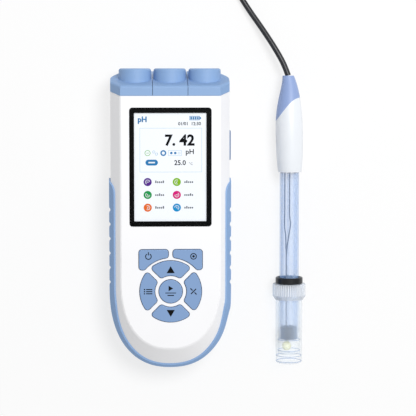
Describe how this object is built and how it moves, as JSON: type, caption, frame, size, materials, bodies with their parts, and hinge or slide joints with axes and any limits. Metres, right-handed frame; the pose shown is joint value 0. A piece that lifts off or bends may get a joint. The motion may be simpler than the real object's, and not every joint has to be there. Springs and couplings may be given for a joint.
{
  "type": "handheld ph meter",
  "caption": "Handheld water meter with display, rubber keypad and grip, three covered sockets, and a glass pH electrode in its storage bottle.",
  "frame": {"origin": "middle of the meter's flat back face, on the table it lies on", "axes": "+Y along the meter to its upper end with the sockets, +X towards the probe, +Z out of the display"},
  "size_m": [0.1723, 0.2939, 0.0348],
  "materials": {
    "white_case": "satin moulded",
    "blue_rubber": "matt",
    "blue_key": "silk",
    "pane": "clear",
    "black_print": "printed",
    "screen": "lit",
    "steel": "brushed",
    "nickel": "plated",
    "insulator": "matt",
    "board": "lacquered",
    "grey_rubber": "matt",
    "cell_wrap": "shrink wrap",
    "dark_panel": "matt",
    "black_rubber": "matt",
    "stem_clear": "clear",
    "bottle_clear": "clear",
    "lead": "drawn wire",
    "dark_plug": "matt"
  },
  "bodies": {
    "meter": {"front_shell": "white_case", "back_shell": "white_case", "grip_band": "blue_rubber", "window_pane": "pane", "window_mask": "black_print", "display_screen": "screen", "display_module": "steel", "keypad_mat": "grey_rubber", "main_board": "board", "charging_board": "board", "usb_socket": "steel", "case_gasket": "grey_rubber", "battery_pack": "cell_wrap", "battery_door": "white_case", "door_gasket": "grey_rubber", "socket_panel": "dark_panel", "ph_socket": "nickel", "ph_socket_core": "insulator", "cell_socket": "nickel", "cell_socket_core": "insulator", "temperature_socket": "nickel", "temperature_socket_core": "insulator", "socket_nuts": "nickel", "case_screws": "steel", "door_screws": "steel", "board_screws": "steel", "charging_board_screws": "steel"},
    "probe": {"bend_boot": "blue_rubber", "probe_cap": "white_case", "outer_tube": "stem_clear", "inner_tube": "stem_clear", "lead_wires": "lead", "base_plug": "dark_plug", "glass_bulb": "stem_clear", "cable_lead": "black_rubber", "cable_tail": "black_rubber", "cable_coil": "black_rubber", "plug_boot": "black_rubber", "plug_body": "nickel", "plug_pin": "nickel"},
    "bottle": {"storage_bottle": "bottle_clear"},
    "seal_ring": {"rubber_ring": "black_rubber"},
    "collar": {"bottle_collar": "bottle_clear"},
    "plug_sleeve": {"bayonet_sleeve": "nickel"},
    "port_flap": {"port_cover": "blue_rubber"},
    "key_up": {"key_up": "blue_key"},
    "key_down": {"key_down": "blue_key"},
    "key_left": {"key_left": "blue_key"},
    "key_right": {"key_right": "blue_key"},
    "key_centre": {"key_centre": "blue_key"},
    "key_upper_left": {"key_upper_left": "blue_key"},
    "key_upper_right": {"key_upper_right": "blue_key"},
    "socket_cover_left": {"socket_cover_left": "blue_rubber"},
    "socket_cover_middle": {"socket_cover_middle": "blue_rubber"},
    "socket_cover_right": {"socket_cover_right": "blue_rubber"}
  },
  "joints": [
    {"name": "key_up_press", "type": "slide", "parent": "meter", "child": "key_up", "axis": [0, 0, -1], "range_m": [0, 0.001], "stiffness_N_per_m": 900},
    {"name": "key_down_press", "type": "slide", "parent": "meter", "child": "key_down", "axis": [0, 0, -1], "range_m": [0, 0.001], "stiffness_N_per_m": 900},
    {"name": "key_left_press", "type": "slide", "parent": "meter", "child": "key_left", "axis": [0, 0, -1], "range_m": [0, 0.001], "stiffness_N_per_m": 900},
    {"name": "key_right_press", "type": "slide", "parent": "meter", "child": "key_right", "axis": [0, 0, -1], "range_m": [0, 0.001], "stiffness_N_per_m": 900},
    {"name": "key_centre_press", "type": "slide", "parent": "meter", "child": "key_centre", "axis": [0, 0, -1], "range_m": [0, 0.001], "stiffness_N_per_m": 900},
    {"name": "key_upper_left_press", "type": "slide", "parent": "meter", "child": "key_upper_left", "axis": [0, 0, -1], "range_m": [0, 0.001], "stiffness_N_per_m": 900},
    {"name": "key_upper_right_press", "type": "slide", "parent": "meter", "child": "key_upper_right", "axis": [0, 0, -1], "range_m": [0, 0.001], "stiffness_N_per_m": 900},
    {"name": "socket_cover_left_pull", "type": "slide", "parent": "meter", "child": "socket_cover_left", "axis": [0, 1, 0], "range_m": [0, 0.024]},
    {"name": "socket_cover_middle_pull", "type": "slide", "parent": "meter", "child": "socket_cover_middle", "axis": [0, 1, 0], "range_m": [0, 0.024]},
    {"name": "socket_cover_right_pull", "type": "slide", "parent": "meter", "child": "socket_cover_right", "axis": [0, 1, 0], "range_m": [0, 0.024]},
    {"name": "port_cover_swing", "type": "hinge", "parent": "meter", "child": "port_flap", "pos_m": [0.0371, 0.03605, 0.0198], "axis": [0, 0, -1], "range_deg": [0, 100]},
    {"name": "probe_lift", "type": "slide", "parent": "meter", "child": "probe", "axis": [0, 0, 1], "range_m": [0, 0.15]},
    {"name": "bottle_pull", "type": "slide", "parent": "probe", "child": "bottle", "axis": [0, -1, 0], "range_m": [0, 0.06]},
    {"name": "ring_rise", "type": "slide", "parent": "bottle", "child": "seal_ring", "axis": [0, 1, 0], "range_m": [0, 0.0061]},
    {"name": "collar_turn", "type": "hinge", "parent": "seal_ring", "child": "collar", "pos_m": [0.075, -0.0474, 0.0104], "axis": [0, 1, 0], "range_deg": [0, 720]},
    {"name": "bayonet_turn", "type": "hinge", "parent": "probe", "child": "plug_sleeve", "pos_m": [0.128, 0.194, 0.0074], "axis": [1, 0, 0], "range_deg": [0, 90]}
  ],
  "couplings": [
    {"joint": "ring_rise", "follows": "collar_turn", "m_per_rad": 0.00047746}
  ]
}
